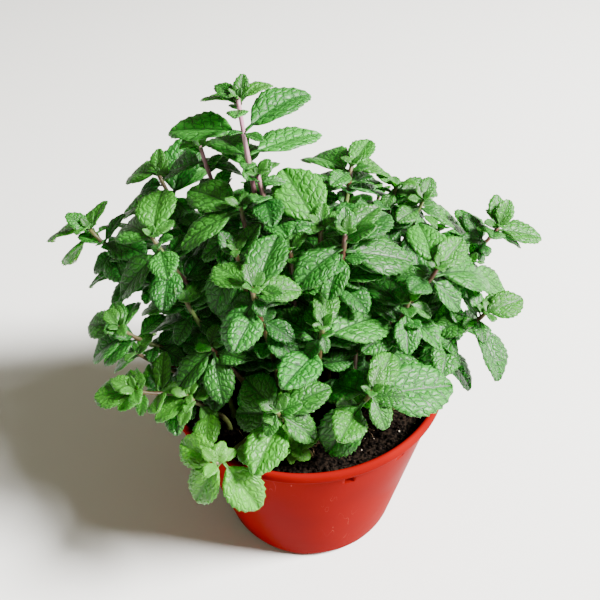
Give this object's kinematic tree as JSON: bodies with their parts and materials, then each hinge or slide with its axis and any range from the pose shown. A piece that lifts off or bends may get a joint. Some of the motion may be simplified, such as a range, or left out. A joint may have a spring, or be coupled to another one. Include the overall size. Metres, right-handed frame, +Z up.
{
  "type": "potted mint plant",
  "caption": "Bushy mint plant with toothed egg-shaped leaves in pairs on leaning stems, growing in soil in a round tapered plastic pot.",
  "frame": {"origin": "middle of the pot's underside, on the surface that the pot stands on", "axes": "+Z up along the pot's axis; -Y towards the front, where the lowest stem hangs over the rim on the left"},
  "size_m": [0.2665, 0.1991, 0.2522],
  "materials": {
    "pot": "gloss",
    "soil": "matte",
    "leaf": "satin"
  },
  "bodies": {
    "root": {"pot": "pot", "soil": "soil", "leafy_stem_top": "leaf", "leafy_stem_top_left": "leaf", "leafy_stem_left_shoulder": "leaf", "leafy_stem_far_left": "leaf", "leafy_stem_left": "leaf", "leafy_stem_middle": "leaf", "leafy_stem_front_middle": "leaf", "leafy_stem_right_middle": "leaf", "leafy_stem_heart": "leaf", "leafy_stem_behind_middle": "leaf", "leafy_stem_back_right": "leaf", "leafy_stem_right_back": "leaf", "leafy_stem_right_shoulder": "leaf", "leafy_stem_far_right": "leaf", "leafy_stem_right": "leaf", "leafy_stem_right_edge": "leaf", "leafy_stem_low_right": "leaf", "leafy_stem_rim_right": "leaf", "leafy_stem_front_right": "leaf", "leafy_stem_front_left": "leaf", "leafy_stem_seedling": "leaf", "leafy_stem_over_rim": "leaf", "leafy_stem_low_left": "leaf", "leafy_stem_left_edge": "leaf", "leafy_stem_left_under": "leaf", "leafy_stem_front_left_high": "leaf", "leafy_stem_inner_left": "leaf", "leafy_stem_inner_middle": "leaf", "leafy_stem_inner_right": "leaf", "leafy_stem_left_dark": "leaf", "leafy_stem_dark_heart": "leaf", "leafy_stem_front_left_low": "leaf", "leafy_stem_right_fill": "leaf", "leafy_stem_front_fill": "leaf", "leafy_stem_back_left": "leaf", "leafy_stem_back": "leaf", "leafy_stem_back_middle": "leaf", "leafy_stem_back_shoulder": "leaf", "leafy_stem_back_edge": "leaf", "leafy_stem_back_inner": "leaf"}
  },
  "joints": []
}
